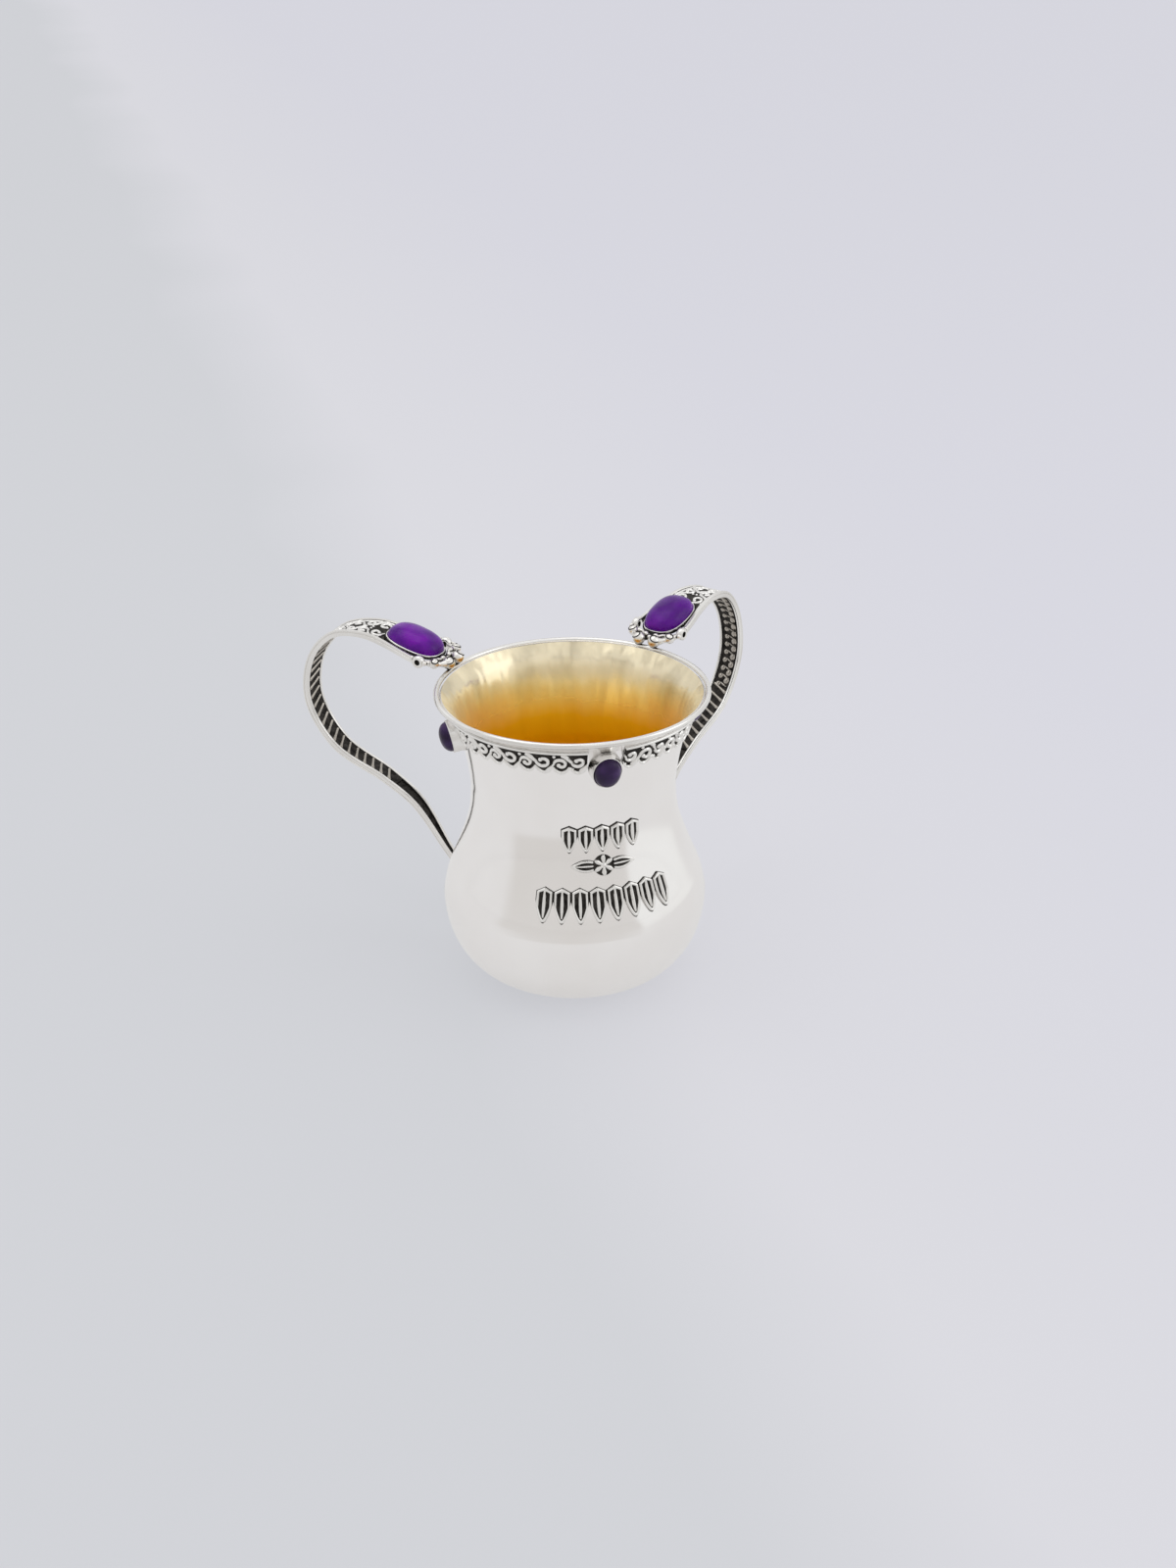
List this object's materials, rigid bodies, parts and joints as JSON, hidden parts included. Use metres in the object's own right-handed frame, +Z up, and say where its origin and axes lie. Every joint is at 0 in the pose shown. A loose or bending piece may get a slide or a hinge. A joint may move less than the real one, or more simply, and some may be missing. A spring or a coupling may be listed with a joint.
{
  "type": "two-handled washing cup",
  "caption": "Round-bellied metal cup with a flared mouth, two tall pierced loop handles set with stones, and a scroll band with small stones below the rim.",
  "frame": {"origin": "centre of the flat base, where the cup stands", "axes": "+Z up along the cup's axis, -Y towards the front with the ornament, +X to the right-hand handle's side"},
  "size_m": [0.1945, 0.1421, 0.137],
  "materials": {
    "polished_silver": "polished",
    "oxidised_silver": "oxidised",
    "violet_stone": "polished",
    "plum_stone": "polished"
  },
  "bodies": {
    "root": {"cup_body": "polished_silver", "rim_wire": "polished_silver", "front_stone_collet": "polished_silver", "front_stone": "plum_stone", "right_stone_collet": "polished_silver", "right_stone": "plum_stone", "rear_stone_collet": "polished_silver", "rear_stone": "plum_stone", "left_stone_collet": "polished_silver", "left_stone": "plum_stone", "front_right_scroll_band": "polished_silver", "rear_right_scroll_band": "polished_silver", "rear_left_scroll_band": "polished_silver", "front_left_scroll_band": "polished_silver", "upper_leaf_ornament": "polished_silver", "middle_rosette": "polished_silver", "lower_leaf_ornament": "polished_silver", "left_handle_front_rail": "polished_silver", "left_handle_rear_rail": "polished_silver", "left_handle_scroll_panel": "polished_silver", "left_handle_ladder_strip": "oxidised_silver", "left_handle_collet": "polished_silver", "left_handle_stone": "violet_stone", "left_handle_rim_cluster": "polished_silver", "right_handle_front_rail": "polished_silver", "right_handle_rear_rail": "polished_silver", "right_handle_scroll_panel": "polished_silver", "right_handle_ladder_strip": "oxidised_silver", "right_handle_collet": "polished_silver", "right_handle_stone": "violet_stone", "right_handle_rim_cluster": "polished_silver"}
  },
  "joints": []
}
